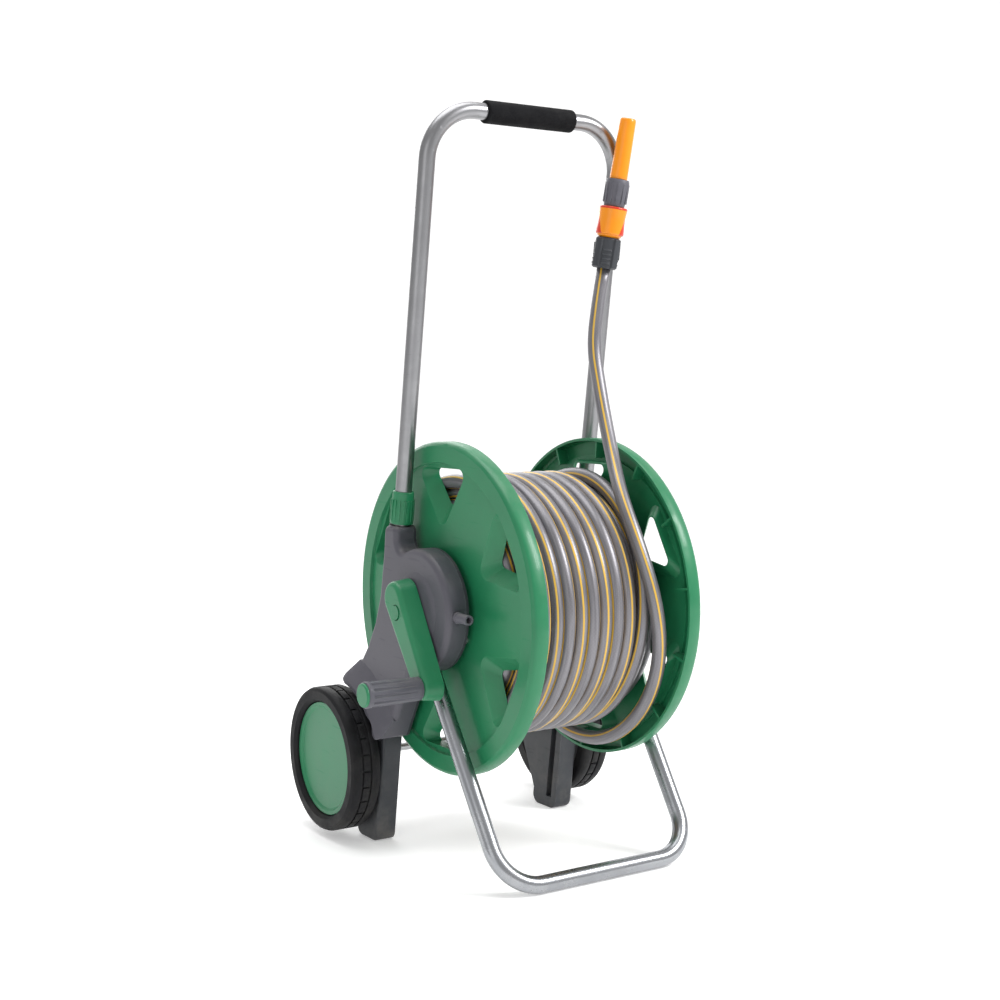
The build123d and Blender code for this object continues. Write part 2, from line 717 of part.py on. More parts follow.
save(ring(pin_centre, -grip_end + grip_cap_thickness + 1, -crank_inner - 3, pin_radius, 0),
     "crank_pin")

with BuildPart() as crank_grip:
    add(turned([
        (-grip_start, pin_radius + running),
        (-grip_start, crank_grip_radius),
        (-grip_end + grip_cap_thickness, crank_grip_radius + 1.5),
        (-grip_end + grip_cap_thickness, pin_radius + running),
    ], pin_centre))
    flute_length = crank_grip_length - 14
    with Locations(section(-(grip_start + grip_end) / 2, *pin_centre[1:]).location):
        with PolarLocations(crank_grip_radius + 1.6, flute_count):
            Cylinder(1.8, flute_length, mode=Mode.SUBTRACT)
    rims = crank_grip.edges().filter_by(GeomType.CIRCLE).sort_by(SortBy.RADIUS)[-2:]
    chamfer(rims, length=1)
save(crank_grip.part, "crank_grip")
with BuildPart() as grip_end_cap:
    add(ring(pin_centre, -grip_end, -grip_end + grip_cap_thickness, crank_grip_radius, 0))
    fillet(grip_end_cap.edges().group_by(Axis.X)[0], radius=grip_cap_thickness * 0.6)
save(grip_end_cap.part, "grip_end_cap")

# ---- wheels --------------------------------------------------------------------------------
shoulder = 5.0
tyre_outline = [
    (-tyre_inner, tyre_seat + 4), (-tyre_inner, tyre_radius - shoulder),
    (-tyre_inner - 1.5, tyre_radius - 1.6), (-tyre_inner - shoulder, tyre_radius),
    (-tyre_outer + shoulder, tyre_radius), (-tyre_outer + 1.5, tyre_radius - 1.6),
    (-tyre_outer, tyre_radius - shoulder), (-tyre_outer, hub_disc_radius + 4),
    (-tyre_outer + 4, hub_disc_radius + 0.5), (-disc_outer, hub_disc_radius + 0.4),
    (-disc_outer + disc_thickness, hub_disc_radius + 0.4), (-disc_outer + disc_thickness, tyre_seat),
    (-tyre_inner - 4, tyre_seat),
]
with BuildPart() as left_tyre:
    add(turned(tyre_outline, wheel_centre))
    for x in (-tyre_inner - tyre_width * 0.36, -tyre_inner - tyre_width * 0.64):
        add(ring(wheel_centre, x - 1.2, x + 1.2, 2 * tyre_radius, tyre_radius - 2),
            mode=Mode.SUBTRACT)
    with Locations(section(-tyre_inner - tyre_width / 2, wheel_y, wheel_z).location):
        with PolarLocations(tyre_radius, tread_blocks):
            Box(4, 2.4, tyre_width * 0.28, mode=Mode.SUBTRACT)
save_pair(left_tyre.part, "tyre")

rim_face = -disc_outer + disc_thickness
left_rim = turned([
    (-tyre_inner, axle_radius + running), (-tyre_inner, 12), (-rim_web + rim_wall, 14),
    (-rim_web + rim_wall, tyre_seat - rim_wall), (-tyre_inner - 3, tyre_seat - rim_wall),
    (-tyre_inner - 3, tyre_seat + 1), (-tyre_inner - 4, tyre_seat), (rim_face, tyre_seat),
    (rim_face, tyre_seat - rim_wall), (-rim_web, tyre_seat - rim_wall), (-rim_web, 12),
    (-rim_web - 2, axle_radius + 4), (-rim_web - 2, axle_radius + running),
], wheel_centre)
save_pair(left_rim, "rim")

left_axle_nut = ring(
    wheel_centre, -axle_reach + free, -rim_web - 2 - free, axle_nut_radius, axle_radius
)
save_pair(left_axle_nut, "axle_nut")

with BuildPart() as left_hub_disc:
    add(turned([
        (-disc_outer, 0), (-disc_outer, hub_disc_radius - 8), (-disc_outer - 2.2, hub_disc_radius - 5),
        (-disc_outer - 2.2, hub_disc_radius - 1), (-disc_outer, hub_disc_radius),
        (rim_face, hub_disc_radius), (rim_face, tyre_seat - rim_wall),
        (rim_face + 6, tyre_seat - rim_wall), (rim_face + 6, tyre_seat - rim_wall - 2),
        (rim_face, tyre_seat - rim_wall - 2), (rim_face, 0),
    ], wheel_centre))
save_pair(left_hub_disc.part, "hub_disc")

# ---- hose-end fittings, on their own leaning axis ------------------------------------------
fitting_axis = Vector(*fitting_lean).normalized()


def fitting_plane(distance):
    """Plane square to the fittings' axis, at a distance from the hose's end."""
    return Plane(origin=Vector(*fitting_foot) + fitting_axis * distance, z_dir=fitting_axis)


def fitting(steps):
    """Turned fitting: (distance, radius) points along the fittings' axis, hollow for water."""
    inner = [(steps[-1][0], inlet_bore + 1), (steps[0][0], inlet_bore + 1)]
    with BuildPart() as piece:
        with BuildSketch(Plane.XZ):
            with BuildLine():
                Polyline(*[(r, d) for d, r in steps + inner], close=True)
            make_face()
        revolve(axis=Axis.Z)
    return piece.part


body_start = nut_length
collar_start = body_start + body_length
barrel_start = collar_start + collar_length
with BuildPart() as connector_nut:
    add(fitting([(0, nut_radius - 3), (2, nut_radius - 1), (nut_length - 4, nut_radius),
                 (nut_length, nut_radius - 2)]))
    with PolarLocations(nut_radius - 0.5, nut_ribs):
        with Locations((0, 0, nut_length * 0.55)):
            Box(3.2, 3.4, nut_length * 0.7)
save(connector_nut.part.moved(fitting_plane(0).location), "connector_nut")

sleeve_start = body_start + 6
sleeve_end = collar_start - 4
connector_body = fitting([
    (body_start, body_radius - 3), (body_start + 2, body_radius), (collar_start - 2, body_radius),
    (collar_start, body_radius - 3),
])
save(connector_body.moved(fitting_plane(0).location), "connector_body")
with BuildPart() as release_sleeve:
    with BuildSketch(Plane.XZ):
        with BuildLine():
            Polyline(
                (body_radius + free, sleeve_start), (body_radius + 1.6, sleeve_start),
                (body_radius + 3, sleeve_start + 8), (body_radius + 2, (sleeve_start + sleeve_end) / 2),
                (body_radius + 3, sleeve_end - 6), (body_radius + 1.6, sleeve_end),
                (body_radius + free, sleeve_end), close=True,
            )
        make_face()
    revolve(axis=Axis.Z)
save(release_sleeve.part.moved(fitting_plane(0).location), "release_sleeve")

with BuildPart() as nozzle_collar:
    add(fitting([(collar_start, 12), (collar_start + 4, 12.8), (barrel_start - 4, 14),
                 (barrel_start, 13)]))
    with PolarLocations(13.2, nut_ribs + 4):
        with Locations((0, 0, collar_start + collar_length / 2)):
            Box(2.4, 2.0, collar_length * 0.7)
save(nozzle_collar.part.moved(fitting_plane(0).location), "nozzle_collar")

barrel_foot = barrel_start + free
nozzle_barrel = fitting([
    (barrel_foot, barrel_radius + 0.9), (barrel_foot + barrel_length - 2, barrel_radius),
    (barrel_foot + barrel_length, barrel_radius - 1),
])
save(nozzle_barrel.moved(fitting_plane(0).location), "nozzle_barrel")

# ---- clip that holds the hose-end fittings on the right post -------------------------------
clip_z = fitting_foot[2] + clip_rise
clip_post = Vector(-on_post(clip_z)[0], on_post(clip_z)[1], clip_z)
clip_nut = Vector(*fitting_foot) + fitting_axis * ((clip_z - fitting_foot[2]) / fitting_axis.Z)
half_clip = Vector(*post_up) * (clip_height / 2)
between = clip_post - clip_nut
with BuildPart() as nozzle_clip:
    add(rod(clip_post - half_clip, clip_post + half_clip, tube_radius + 3))
    add(rod(clip_nut - half_clip, clip_nut + half_clip, nut_radius + 4.5))
    with BuildSketch(Plane(origin=clip_nut, x_dir=between, z_dir=post_up)):
        with Locations((-nut_radius * 0.9, 0)):
            Rectangle(nut_radius * 2.4, 4 * nut_radius)
    extrude(amount=clip_height, both=True, mode=Mode.SUBTRACT)
    add(rod(clip_post - half_clip * 2, clip_post + half_clip * 2, tube_radius), mode=Mode.SUBTRACT)
    nut_clear = nut_radius + 1.4 + free
    add(rod(clip_nut - fitting_axis * clip_height, clip_nut + fitting_axis * clip_height, nut_clear),
        mode=Mode.SUBTRACT)
save(nozzle_clip.part, "nozzle_clip")

# ---- hose: the winding, and the free end that hangs below it and rises to the fittings ------
last_layer = coil_radius - hose_diameter
last_turn = -coil_reach + (turns_per_layer - 1) * hose_pitch
with BuildPart() as hose_coil:
    add(turned([
        (-coil_reach, coil_inner), (-coil_reach, coil_radius), (last_turn, coil_radius),
        (last_turn, last_layer), (coil_reach, last_layer), (coil_reach, coil_inner),
    ], reel_centre))
save(hose_coil.part, "hose_coil")

hose_route = [                # from the right flange's outer face and the reel's axis
    (-28, 139, 50), (-28, 156, -1), (-28, 154, -55), (-28, 131, -108), (-28, 87, -148),
    (-28, 28, -171), (-28, -36, -171), (-28, -94, -144), (-31, -140, -97), (-37, -163, -42),
    (-47, -165, 16), (-57, -147, 75), (-53, -109, 128), (-34.3, -70, 165), (-24.3, -42, 208),
    (-18, -20, 253), (-15.5, -5, 298),
]
hose_end = Vector(*fitting_foot)
corners = [Vector(rim_outer + x, y, reel_height + z) for x, y, z in hose_route]
corners += [hose_end - fitting_axis * straight_end, hose_end]
radii = []
for before, corner, after in zip(corners, corners[1:], corners[2:]):
    turn = (corner - before).get_angle(after - corner)
    shorter = min((corner - before).length, (after - corner).length)
    radii.append(0.45 * shorter / math.tan(math.radians(turn / 2)))
print("hose bend radii", [round(r) for r in radii])
with BuildPart() as hose_free:
    with BuildLine() as hose_line:
        FilletPolyline(*corners, radius=radii)
    with BuildSketch(Plane(origin=hose_line.line @ 0, z_dir=hose_line.line % 0)):
        Circle(hose_radius)
    sweep()
hose_length = sum(edge.length for edge in hose_line.line.edges())
print("free hose", round(hose_length), "tube volume over section times length",
      hose_free.part.volume / (math.pi * hose_radius**2 * hose_length))
save(hose_free.part, "hose_free")
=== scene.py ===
import math

import bpy
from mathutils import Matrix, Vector


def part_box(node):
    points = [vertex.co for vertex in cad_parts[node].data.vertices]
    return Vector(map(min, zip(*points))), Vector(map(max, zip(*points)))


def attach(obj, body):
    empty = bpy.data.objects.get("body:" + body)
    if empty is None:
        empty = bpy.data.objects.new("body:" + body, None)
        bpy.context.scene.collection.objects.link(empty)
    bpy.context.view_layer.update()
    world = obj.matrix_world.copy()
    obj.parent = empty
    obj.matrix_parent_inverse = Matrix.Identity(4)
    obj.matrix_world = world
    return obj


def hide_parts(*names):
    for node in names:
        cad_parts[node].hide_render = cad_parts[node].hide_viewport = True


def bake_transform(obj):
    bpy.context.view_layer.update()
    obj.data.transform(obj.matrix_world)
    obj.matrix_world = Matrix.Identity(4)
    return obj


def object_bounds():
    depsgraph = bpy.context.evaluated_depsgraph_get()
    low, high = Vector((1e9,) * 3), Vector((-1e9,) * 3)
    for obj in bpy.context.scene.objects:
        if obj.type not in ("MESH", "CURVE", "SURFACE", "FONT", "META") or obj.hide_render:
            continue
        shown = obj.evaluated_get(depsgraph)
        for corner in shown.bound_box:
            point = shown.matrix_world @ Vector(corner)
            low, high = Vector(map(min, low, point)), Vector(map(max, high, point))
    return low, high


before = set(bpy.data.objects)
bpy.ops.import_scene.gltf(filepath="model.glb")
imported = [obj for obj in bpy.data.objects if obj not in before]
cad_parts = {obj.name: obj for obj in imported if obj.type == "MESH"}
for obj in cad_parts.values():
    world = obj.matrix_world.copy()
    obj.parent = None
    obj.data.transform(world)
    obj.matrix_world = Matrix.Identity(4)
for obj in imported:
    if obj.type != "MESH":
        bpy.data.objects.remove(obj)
cad_low, cad_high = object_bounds()

# Garden hose reel cart, in metres: +Z up, X along the reel's axis with the crank at -X, and -Y
# the front, where the foot loop stands.

# ---- sizes and places ------------------------------------------------------------------------
HOSE_RADIUS = 0.0082
HOSE_PITCH = 0.01655
LAYER_STEP = 0.0144
TURNS_IN_LAYERS = (11, 11, 10)
POINTS_PER_TURN = 16
STRIPES = 3
HOSE_SIDES = 20
LINE_STEPS = 5                 # of the mesh tube, from one control point to the next

drum_low, drum_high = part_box("drum")
REEL = (drum_low + drum_high) / 2
DRUM_RADIUS = (drum_high.z - drum_low.z) / 2
FIRST_LAYER = DRUM_RADIUS + 0.0003 + HOSE_RADIUS
COIL_START = REEL.x - 0.0870

# The free hose, by its points: off the winding, down the back, under it and up to the nut.
# They are measured from the ground under the middle of the reel, as the fittings' foot is.
MIDDLE = Vector((REEL.x, REEL.y, 0.0))
FREE_HOSE = [MIDDLE + Vector(point) for point in (
    (0.086, 0.139, 0.342), (0.086, 0.156, 0.291), (0.086, 0.154, 0.237), (0.086, 0.131, 0.184),
    (0.086, 0.087, 0.144), (0.086, 0.028, 0.121), (0.086, -0.036, 0.121), (0.086, -0.094, 0.148),
    (0.083, -0.140, 0.195), (0.077, -0.163, 0.250), (0.067, -0.165, 0.308),
    (0.057, -0.147, 0.367), (0.061, -0.109, 0.420), (0.0797, -0.070, 0.457),
    (0.0897, -0.042, 0.500), (0.096, -0.020, 0.545), (0.0985, -0.005, 0.590),
)]
NUT_FOOT = MIDDLE + Vector((0.108, -0.012, 0.684))
FITTING_AXIS = Vector((17.0, -23.0, 170.0)).normalized()
STRAIGHT_END = 0.050

# ---- camera ----------------------------------------------------------------------------------
CAMERA_PLACE = MIDDLE + Vector((-1.00468, -1.48393, 0.54693))
CAMERA_TURN = 33.25            # degrees to the right of straight back
CAMERA_DIP = 4.33              # degrees below level
turn, dip = math.radians(CAMERA_TURN), math.radians(CAMERA_DIP)
looking = Vector((math.sin(turn) * math.cos(dip), math.cos(turn) * math.cos(dip), -math.sin(dip)))
camera_data = bpy.data.cameras.new("camera")
camera_data.lens = 55.18
camera_data.sensor_width = 36.0
camera = bpy.data.objects.new("camera", camera_data)
camera.location = CAMERA_PLACE
camera.rotation_mode = "QUATERNION"
camera.rotation_quaternion = looking.to_track_quat("-Z", "Y")
bpy.context.scene.collection.objects.link(camera)
bpy.context.scene.camera = camera


# ---- mesh helpers ----------------------------------------------------------------------------
def mesh_piece(name, vertices, faces, smooth=True):
    """A new object from its vertices and faces, linked into the scene."""
    data = bpy.data.meshes.new(name)
    data.from_pydata(vertices, [], faces)
    data.update()
    data.polygons.foreach_set("use_smooth", [smooth] * len(data.polygons))
    piece = bpy.data.objects.new(name, data)
    bpy.context.scene.collection.objects.link(piece)
    return piece


def smooth_line(name, points, steps):
    """Points along the NURBS line that has the given control points."""
    data = bpy.data.curves.new(name, "CURVE")
    data.dimensions = "3D"
    spline = data.splines.new("NURBS")
    spline.points.add(len(points) - 1)
    for spot, point in zip(spline.points, points):
        spot.co = (*point, 1.0)
    spline.order_u = 3
    spline.use_endpoint_u = True
    spline.resolution_u = steps
    line = bpy.data.objects.new(name, data)
    bpy.context.scene.collection.objects.link(line)
    shape = line.evaluated_get(bpy.context.evaluated_depsgraph_get())
    drawn = bpy.data.meshes.new_from_object(shape)
    places = [v.co.copy() for v in drawn.vertices]
    bpy.data.objects.remove(line)
    bpy.data.meshes.remove(drawn)
    return places


def tube_along(name, line, radius, sides):
    """Closed round tube along a line, with U once round it and V in metres along it."""
    vertices, lengths = [], []
    travelled = 0.0
    heading = (line[1] - line[0]).normalized()
    side = heading.orthogonal().normalized()
    for i, place in enumerate(line):
        ahead = line[min(i + 1, len(line) - 1)] - line[max(i - 1, 0)]
        ahead.normalize()
        side = (side - ahead * side.dot(ahead)).normalized()
        up = ahead.cross(side)
        if i:
            travelled += (place - line[i - 1]).length
        lengths.append(travelled)
        for k in range(sides):
            angle = 2 * math.pi * k / sides
            vertices.append(place + (side * math.cos(angle) + up * math.sin(angle)) * radius)
    faces, corners = [], []
    for i in range(len(line) - 1):
        for k in range(sides):
            nxt = (k + 1) % sides
            faces.append((i * sides + k, i * sides + nxt, (i + 1) * sides + nxt,
                          (i + 1) * sides + k))
            corners += [(k / sides, lengths[i]), ((k + 1) / sides, lengths[i]),
                        ((k + 1) / sides, lengths[i + 1]), (k / sides, lengths[i + 1])]
    last = (len(line) - 1) * sides
    faces.append(tuple(range(sides - 1, -1, -1)))
    faces.append(tuple(last + k for k in range(sides)))
    corners += [(0.0, 0.0)] * (2 * sides)
    piece = mesh_piece(name, vertices, faces)
    layer = piece.data.uv_layers.new(name="round and along")
    layer.data.foreach_set("uv", [value for corner in corners for value in corner])
    return piece


# ---- hose ------------------------------------------------------------------------------------
def ease(share):
    """0 before 0, 1 after 1, and smooth between them."""
    share = max(0.0, min(1.0, share))
    return share * share * (3 - 2 * share)


CROSSING = 0.16                # share of a turn in which the hose steps to its next place
CROSSING_LIFT = 0.0024         # there it rides up over the crossing turn below
FIRST_ANGLE = math.radians(-70.0)
LEAVING = 0.15                 # share of the last turn after which the hose drifts off it


def ring_places():
    """(x, radius) of each turn of the winding, layer by layer, from the drum out."""
    places = []
    for layer, turns in enumerate(TURNS_IN_LAYERS):
        radius = FIRST_LAYER + layer * LAYER_STEP
        for k in range(turns):
            if layer % 2 == 0:
                x = COIL_START + k * HOSE_PITCH
            else:
                x = COIL_START + (TURNS_IN_LAYERS[0] - 0.5 - k) * HOSE_PITCH
            places.append((x, radius, layer))
    return places


def winding_points():
    """Control points of the winding: level turns that step sideways at the bottom."""
    rings = ring_places()
    leave_x = FREE_HOSE[0][0]
    leave = Vector((FREE_HOSE[0][1] - REEL.y, FREE_HOSE[0][2] - REEL.z))
    last_share = ((FIRST_ANGLE - math.atan2(leave.y, leave.x)) / (2 * math.pi)) % 1.0
    count = int((len(rings) - 1 + last_share) * POINTS_PER_TURN)
    points = []
    for i in range(count):
        turns = i / POINTS_PER_TURN
        ring, share = int(turns), turns % 1.0
        x, radius, layer = rings[ring]
        step = ease((share - 1 + CROSSING) / CROSSING)
        if ring + 1 < len(rings):
            x += (rings[ring + 1][0] - x) * step
            radius += (rings[ring + 1][1] - radius) * step
        else:
            drift = ease((share - LEAVING) / (last_share - LEAVING))
            x += (leave_x - x) * drift
            radius += (leave.length - radius) * drift
        radius += CROSSING_LIFT * layer * math.sin(math.pi * step) ** 2
        angle = FIRST_ANGLE - 2 * math.pi * turns
        # A quadratic line runs inside its control points by this factor.
        reach = radius / (0.75 + 0.25 * math.cos(2 * math.pi / POINTS_PER_TURN))
        points.append((x, REEL.y + reach * math.cos(angle), REEL.z + reach * math.sin(angle)))
    return points


nut_entry = [NUT_FOOT - FITTING_AXIS * STRAIGHT_END, NUT_FOOT]
hose_line = smooth_line("hose route", winding_points() + FREE_HOSE + nut_entry, LINE_STEPS)
hose = tube_along("hose", hose_line, HOSE_RADIUS, HOSE_SIDES)
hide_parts("hose_coil", "hose_free")
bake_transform(hose)

# ---- nut and release sleeve on the hose's end ------------------------------------------------
FITTING_TURN = math.radians(20.0)       # the nut and the sleeve sit turned in their clip
LEVEL = FITTING_AXIS.cross(Vector((0, 0, 1))).normalized()
UPRIGHT = LEVEL.cross(FITTING_AXIS)
FITTING_SIDE = UPRIGHT * math.cos(FITTING_TURN) + LEVEL * math.sin(FITTING_TURN)
FITTING_FRONT = LEVEL * math.cos(FITTING_TURN) - UPRIGHT * math.sin(FITTING_TURN)
BORE = 0.0046
NUT_LENGTH = 0.0365
NUT_RADIUS = 0.0146
NUT_FOOT_LIP = 0.0014          # how far the nut draws in at its foot
NUT_TOP_LIP = 0.0016           # and at its top
FIN_COUNT = 4
FIN_HEIGHT = 0.0022
FIN_HALF_WIDTH = 0.21          # share of the angle from one fin to the next
RIDGE_COUNT = 4
RIDGE_HEIGHT = 0.0012
RIDGE_EDGE = 0.25              # the ridges end this far from a fin's middle, as the same share
RIDGE_FOOT = 0.08              # the ridges' lower end and their span, as shares of the length
RIDGE_SPAN = 0.56
NUT_MESH = (96, 180)           # rows along it and sides round it
SLEEVE_MESH = (48, 120)
SLEEVE_BASE = 0.0148           # the sleeve's bore and wall are counted from this radius
SLEEVE_START = 0.0402
SLEEVE_END = 0.0726
SLEEVE_WALL = 0.0014
SLEEVE_WAIST = 0.0005
SLEEVE_LIP = 0.0007
SLEEVE_CLEARANCE = 0.0003
RED_RING = 0.92                # the ring's lower edge, as a share of the sleeve's length
WEDGE_TOP = 0.60               # the red wedges' tips, as the same share
WEDGE_EDGE = 0.62              # sideways share at which a wedge starts, at the sleeve's foot
WEDGE_SLOPE = 0.62             # and how fast that share grows upward


def on_fitting(distance, radius, angle):
    """Point round the fittings' axis, at a distance along it from the hose's end."""
    across = FITTING_SIDE * math.cos(angle) + FITTING_FRONT * math.sin(angle)
    return NUT_FOOT + FITTING_AXIS * distance + across * radius


def shaped_turning(name, start, end, rows, sides, radius_at, inner):
    """Hollow fitting whose outer radius changes along its axis and round it."""
    vertices, faces = [], []
    distances = [start + (end - start) * row / rows for row in range(rows + 1)]
    angles = [2 * math.pi * k / sides for k in range(sides)]
    profile = [(start, None)] + [(d, radius_at) for d in distances] + [(end, None)]
    for distance, shape in profile:
        for angle in angles:
            radius = shape(distance, angle) if shape else inner
            vertices.append(on_fitting(distance, radius, angle))
    count = len(profile)
    for row in range(count):
        after = (row + 1) % count
        for k in range(sides):
            nxt = (k + 1) % sides
            faces.append((row * sides + k, row * sides + nxt, after * sides + nxt,
                          after * sides + k))
    return mesh_piece(name, vertices, faces)


def nut_radius(distance, angle):
    """Nut with broad fins and, between them, short level ridges for the fingers."""
    share = distance / NUT_LENGTH
    body = NUT_RADIUS - NUT_FOOT_LIP * (1 - ease(share / 0.06))
    body -= NUT_TOP_LIP * ease((share - 0.95) / 0.05)
    place = (angle * FIN_COUNT / (2 * math.pi)) % 1.0
    fin = ease((FIN_HALF_WIDTH - abs(place - 0.5)) / 0.04)
    fin *= ease(share / 0.03) * ease((0.99 - share) / 0.04)
    panel = ease((abs(place - 0.5) - RIDGE_EDGE) / 0.03)
    wave = (share - RIDGE_FOOT) / RIDGE_SPAN * RIDGE_COUNT
    ridge = math.sin(math.pi * (wave % 1.0)) ** 4 if 0 <= wave < RIDGE_COUNT else 0.0
    return body + FIN_HEIGHT * fin + RIDGE_HEIGHT * ridge * panel


def sleeve_radius(distance, angle):
    """Release sleeve, waisted so that fingers can pull it back."""
    share = (distance - SLEEVE_START) / (SLEEVE_END - SLEEVE_START)
    waist = SLEEVE_WAIST * math.cos(2 * math.pi * (share - 0.04))
    lips = SLEEVE_LIP * (1 - ease(share / 0.05)) + SLEEVE_LIP * (1 - ease((1 - share) / 0.05))
    return SLEEVE_BASE + SLEEVE_WALL + waist - lips


def is_red(spot):
    """Whether a place on the sleeve lies in its top ring or in one of its two side wedges."""
    reach = spot - NUT_FOOT
    share = (reach.dot(FITTING_AXIS) - SLEEVE_START) / (SLEEVE_END - SLEEVE_START)
    out = reach - FITTING_AXIS * reach.dot(FITTING_AXIS)
    sideways = abs(reach.dot(FITTING_SIDE)) / max(1e-6, out.length)
    wedge = share < WEDGE_TOP and sideways > WEDGE_EDGE + WEDGE_SLOPE * share
    return share > RED_RING or wedge


nut = shaped_turning("hose_nut", 0.0, NUT_LENGTH, *NUT_MESH, nut_radius, BORE)
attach(nut, "handle")
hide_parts("connector_nut")
sleeve = shaped_turning("release_collar", SLEEVE_START, SLEEVE_END, *SLEEVE_MESH, sleeve_radius,
                        SLEEVE_BASE + SLEEVE_CLEARANCE)
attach(sleeve, "sleeve")
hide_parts("release_sleeve")

# ---- clip that holds the nut on the right post -----------------------------------------------
POST_LEAN = math.radians(8.5)
POST_UP = Vector((0.0, -math.sin(POST_LEAN), math.cos(POST_LEAN)))
POST_AT_CLIP = MIDDLE + Vector((0.130, 0.01122, 0.704))     # the post's axis, level with the clip
POST_RADIUS = 0.0095
POST_STATIONS = 48
CLIP_ABOVE_FOOT = 0.020        # from the nut's foot up to the clip's middle
CLIP_HALF_HEIGHT = 0.010
CLIP_WALL = 0.0024
CRADLE_RADIUS = 0.0187
CRADLE_HALF_ANGLE = math.radians(50.0)
CRADLE_STATIONS = 28
CLIP_SOFT_EDGE = 0.0006


def band(vertices, faces, centre, ahead, inner, outer, half_angle, stations):
    """Add a ring, or an arc of one, about the post's direction, its middle facing ahead."""
    across = POST_UP.cross(ahead)
    closed = half_angle >= math.pi
    first = len(vertices)
    for k in range(stations):
        angle = half_angle * (2 * k / (stations if closed else stations - 1) - 1)
        out = ahead * math.cos(angle) + across * math.sin(angle)
        for radius, rise in ((inner, -1), (outer, -1), (outer, 1), (inner, 1)):
            vertices.append(centre + out * radius + POST_UP * (rise * CLIP_HALF_HEIGHT))
    for k in range(stations if closed else stations - 1):
        here, there = first + 4 * k, first + 4 * ((k + 1) % stations)
        for side in range(4):
            after = (side + 1) % 4
            faces.append((here + side, here + after, there + after, there + side))
    if not closed:
        last = first + 4 * (stations - 1)
        faces.append((first + 3, first + 2, first + 1, first))
        faces.append((last, last + 1, last + 2, last + 3))


nut_at_clip = NUT_FOOT + FITTING_AXIS * (CLIP_ABOVE_FOOT / FITTING_AXIS.z)
towards_nut = nut_at_clip - POST_AT_CLIP
towards_nut = (towards_nut - POST_UP * towards_nut.dot(POST_UP)).normalized()
clip_vertices, clip_faces = [], []
band(clip_vertices, clip_faces, POST_AT_CLIP, towards_nut, POST_RADIUS, POST_RADIUS + CLIP_WALL,
     math.pi, POST_STATIONS)
band(clip_vertices, clip_faces, nut_at_clip, -towards_nut, CRADLE_RADIUS,
     CRADLE_RADIUS + CLIP_WALL, CRADLE_HALF_ANGLE, CRADLE_STATIONS)
clip = mesh_piece("post_clip", clip_vertices, clip_faces)
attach(clip, "handle")
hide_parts("nozzle_clip")

# ---- shader helpers --------------------------------------------------------------------------
KINDS = {"value": "NodeSocketFloat", "colour": "NodeSocketColor", "vector": "NodeSocketVector"}


def shader_group(name, inputs, outputs):
    """An empty shader group with the named sockets, and its input and output nodes."""
    group = bpy.data.node_groups.new(name, "ShaderNodeTree")
    for label, start in inputs:
        kind = "value" if isinstance(start, float) else "vector"
        made = group.interface.new_socket(label, in_out="INPUT", socket_type=KINDS[kind])
        made.default_value = start
    for label, kind in outputs:
        group.interface.new_socket(label, in_out="OUTPUT", socket_type=KINDS[kind])
    return group, group.nodes.new("NodeGroupInput"), group.nodes.new("NodeGroupOutput")


def put(tree, kind, settings=None, **sockets):
    """Add a node, set its options, and set or link its named sockets (_ stands for a space)."""
    made = tree.nodes.new("ShaderNode" + kind)
    for label, value in (settings or {}).items():
        setattr(made, label, value)
    for label, value in sockets.items():
        socket = made.inputs[label.replace("_", " ")]
        if isinstance(value, bpy.types.NodeSocket):
            tree.links.new(value, socket)
        else:
            socket.default_value = value
    return made


def sums(tree, operation, *terms, clamp=False):
    """A Math node of the given operation; returns its output."""
    made = tree.nodes.new("ShaderNodeMath")
    made.operation = operation
    made.use_clamp = clamp
    for socket, term in zip(made.inputs, terms):
        if isinstance(term, bpy.types.NodeSocket):
            tree.links.new(term, socket)
        else:
            socket.default_value = term
    return made.outputs[0]


def stretch(tree, value, low, high, bottom=0.0, top=1.0):
    """Map a range smoothly onto another; returns the output."""
    made = put(tree, "MapRange", {"interpolation_type": "SMOOTHSTEP"}, Value=value)
    for label, number in zip(("From Min", "From Max", "To Min", "To Max"),
                             (low, high, bottom, top)):
        made.inputs[label].default_value = number
    return made.outputs["Result"]


def place_group(tree, group, **sockets):
    """Put a shader group into a material's tree and set or link its inputs."""
    made = tree.nodes.new("ShaderNodeGroup")
    made.node_tree = group
    for label, value in sockets.items():
        socket = made.inputs[label.replace("_", " ")]
        if isinstance(value, bpy.types.NodeSocket):
            tree.links.new(value, socket)
        else:
            socket.default_value = value
    return made.outputs


def blended(tree, factor, first, second, mode="MIX"):
    """Mix two colours by a factor; returns the colour output."""
    made = tree.nodes.new("ShaderNodeMix")
    made.data_type = "RGBA"
    made.blend_type = mode
    for index, value in ((0, factor), (6, first), (7, second)):
        if isinstance(value, bpy.types.NodeSocket):
            tree.links.new(value, made.inputs[index])
        else:
            made.inputs[index].default_value = value
    return made.outputs[2]


# ---- shared surface effects ------------------------------------------------------------------
def make_moulded_grain():
    """Fine spark-eroded texture of moulded plastic, with a slow unevenness of the colour."""
    group, given, out = shader_group(
        "moulded grain", [("Grain per metre", 900.0), ("Sink per metre", 14.0)],
        [("Height", "value"), ("Mottle", "value")],
    )
    place = put(group, "TexCoord").outputs["Object"]
    fine = put(group, "TexNoise", Vector=place, Scale=given.outputs[0], Detail=3.0,
               Roughness=0.62).outputs["Fac"]
    slow = put(group, "TexNoise", Vector=place, Scale=given.outputs[1], Detail=4.0,
               Roughness=0.55).outputs["Fac"]
    height = sums(group, "ADD", sums(group, "MULTIPLY", fine, 0.75),
                  sums(group, "MULTIPLY", slow, 0.25))
    group.links.new(height, out.inputs["Height"])
    group.links.new(stretch(group, slow, 0.3, 0.7), out.inputs["Mottle"])
    return group


